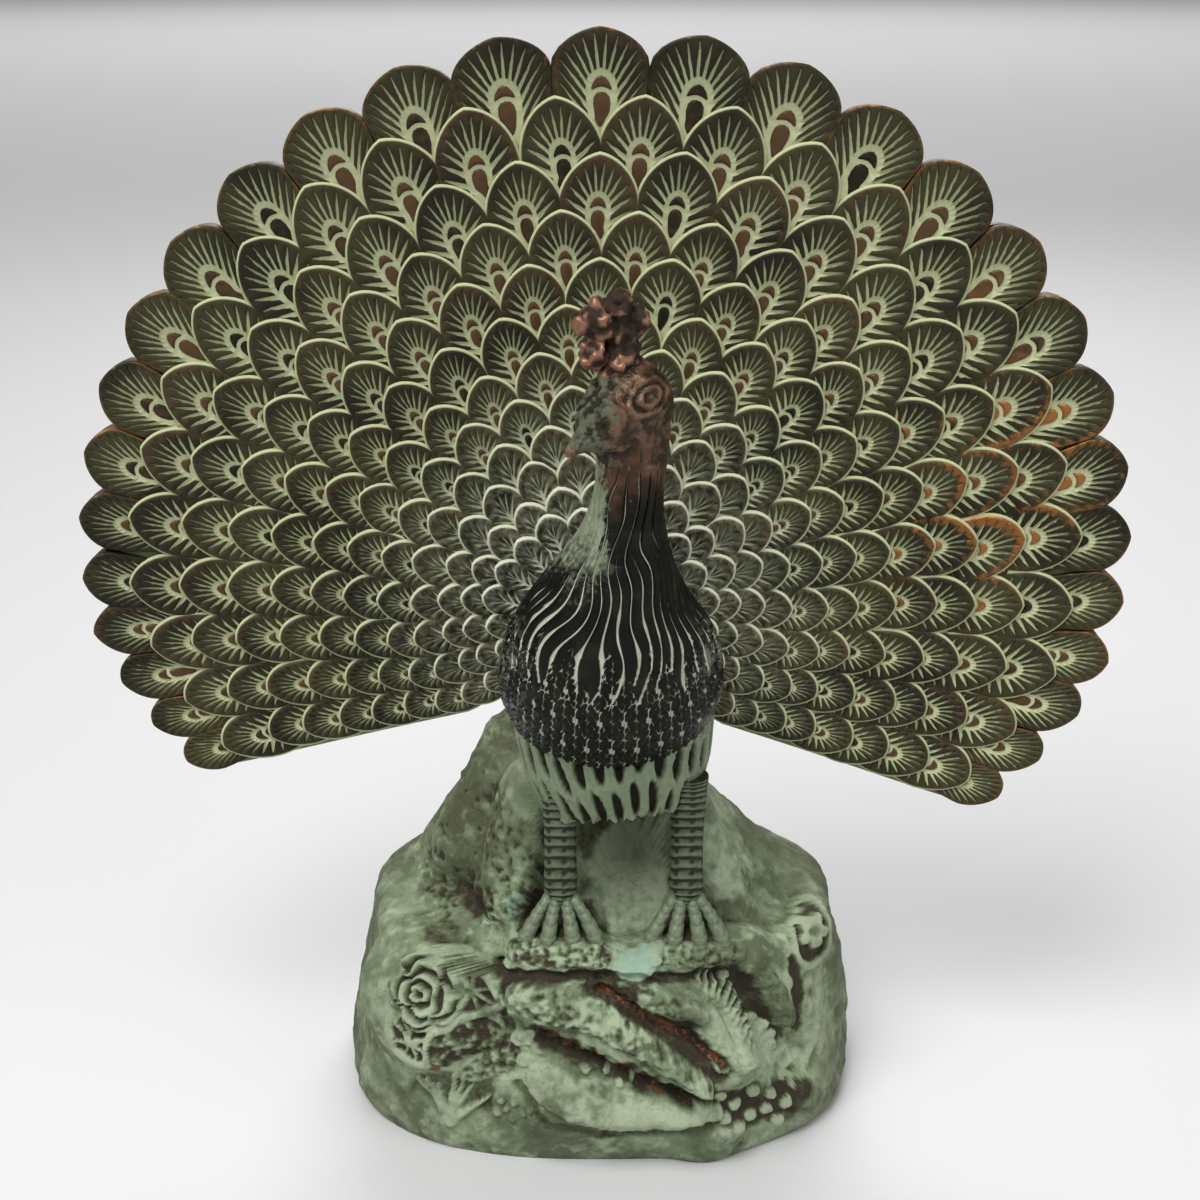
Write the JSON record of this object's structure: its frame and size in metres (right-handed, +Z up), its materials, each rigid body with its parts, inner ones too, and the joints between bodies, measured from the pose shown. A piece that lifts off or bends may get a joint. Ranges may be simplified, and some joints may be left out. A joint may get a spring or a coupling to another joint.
{
  "type": "peacock figurine",
  "caption": "Cast bronze peacock with its feather fan spread, standing on a carved rock with roses, in a green patina.",
  "frame": {"origin": "middle of the rock's flat underside, on the ground", "axes": "+Z up; the bird faces -Y, with its fan spread along X behind it"},
  "size_m": [0.1295, 0.0509, 0.1376],
  "materials": {
    "patinated_bronze": "matt green patina over bronze, worn bright on edges"
  },
  "bodies": {
    "root": {"peacock_figurine": "patinated_bronze"}
  },
  "joints": []
}
